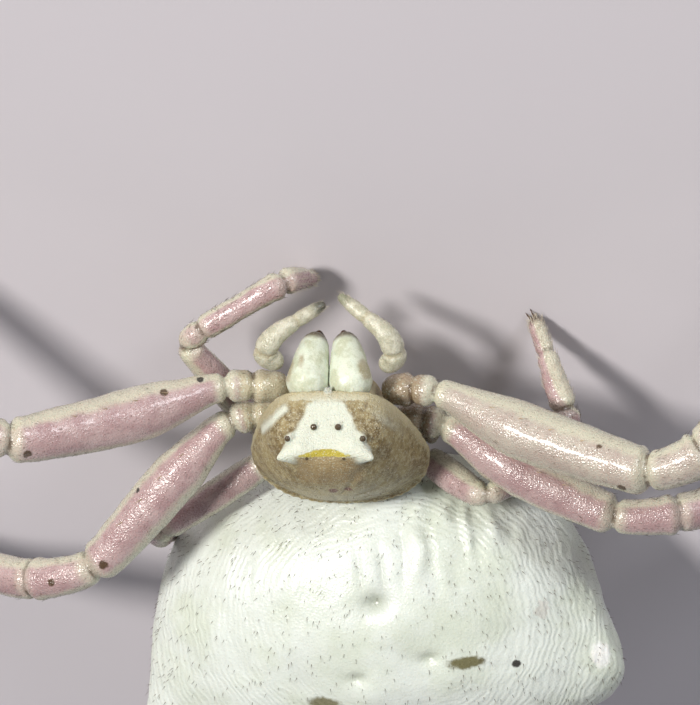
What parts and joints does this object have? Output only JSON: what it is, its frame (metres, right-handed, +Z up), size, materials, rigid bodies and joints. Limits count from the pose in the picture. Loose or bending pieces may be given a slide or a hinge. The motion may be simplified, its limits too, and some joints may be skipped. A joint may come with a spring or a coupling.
{
  "type": "crab spider",
  "caption": "Still model of a pale crab spider resting on its belly with the forelegs held wide, eyes, horns, jaws, palps and jointed legs.",
  "frame": {"origin": "on the floor, in the mid-plane of the head, in the middle of the small flat on which the belly rests", "axes": "+Z up, -Y the way the face looks, +X the spider's left, across the span of the forelegs"},
  "size_m": [0.0181, 0.0131, 0.0041],
  "materials": {
    "carapace": "translucent khaki shield, finely grained, satin, with a white face and horns",
    "underside": "cream cuticle, satin",
    "abdomen": "soft white skin, satin, finely wrinkled",
    "eyes": "small dark glossy domes",
    "jaws": "ivory with a tan patch and brown tips, satin",
    "claws": "dark brown horn, glossy",
    "palps": "cream with grey-green mottling, satin",
    "leg_roots": "amber translucent cuticle, satin",
    "legs": "rose and pale green translucent cuticle, wet-looking satin"
  },
  "bodies": {
    "root": {"carapace": "carapace", "sternum": "underside", "pedicel": "underside", "abdomen": "abdomen", "spinnerets": "underside", "eye_front_middle_left": "eyes", "eye_front_middle_right": "eyes", "eye_front_side_left": "eyes", "eye_front_side_right": "eyes", "eye_rear_middle_left": "eyes", "eye_rear_middle_right": "eyes", "eye_rear_side_left": "eyes", "eye_rear_side_right": "eyes", "chelicera_left": "jaws", "fang_left": "claws", "palp_left_femur": "palps", "palp_left_tibia": "palps", "palp_left_tarsus": "palps", "chelicera_right": "jaws", "fang_right": "claws", "palp_right_femur": "palps", "palp_right_tibia": "palps", "palp_right_tarsus": "palps", "leg_1_left_coxa": "leg_roots", "leg_1_left_femur": "legs", "leg_1_left_tibia": "legs", "leg_1_left_tarsus": "legs", "leg_1_right_coxa": "leg_roots", "leg_1_right_femur": "legs", "leg_1_right_tibia": "legs", "leg_1_right_tarsus": "legs", "leg_2_left_coxa": "leg_roots", "leg_2_left_femur": "legs", "leg_2_left_tibia": "legs", "leg_2_left_tarsus": "legs", "leg_2_right_coxa": "leg_roots", "leg_2_right_femur": "legs", "leg_2_right_tibia": "legs", "leg_2_right_tarsus": "legs", "leg_3_left_coxa": "leg_roots", "leg_3_left_femur": "legs", "leg_3_left_tibia": "legs", "leg_3_left_tarsus": "legs", "leg_3_right_coxa": "leg_roots", "leg_3_right_femur": "legs", "leg_3_right_tibia": "legs", "leg_3_right_tarsus": "legs", "leg_4_left_coxa": "leg_roots", "leg_4_left_femur": "legs", "leg_4_left_tibia": "legs", "leg_4_left_tarsus": "legs", "leg_4_right_coxa": "leg_roots", "leg_4_right_femur": "legs", "leg_4_right_tibia": "legs", "leg_4_right_tarsus": "legs"}
  },
  "joints": []
}
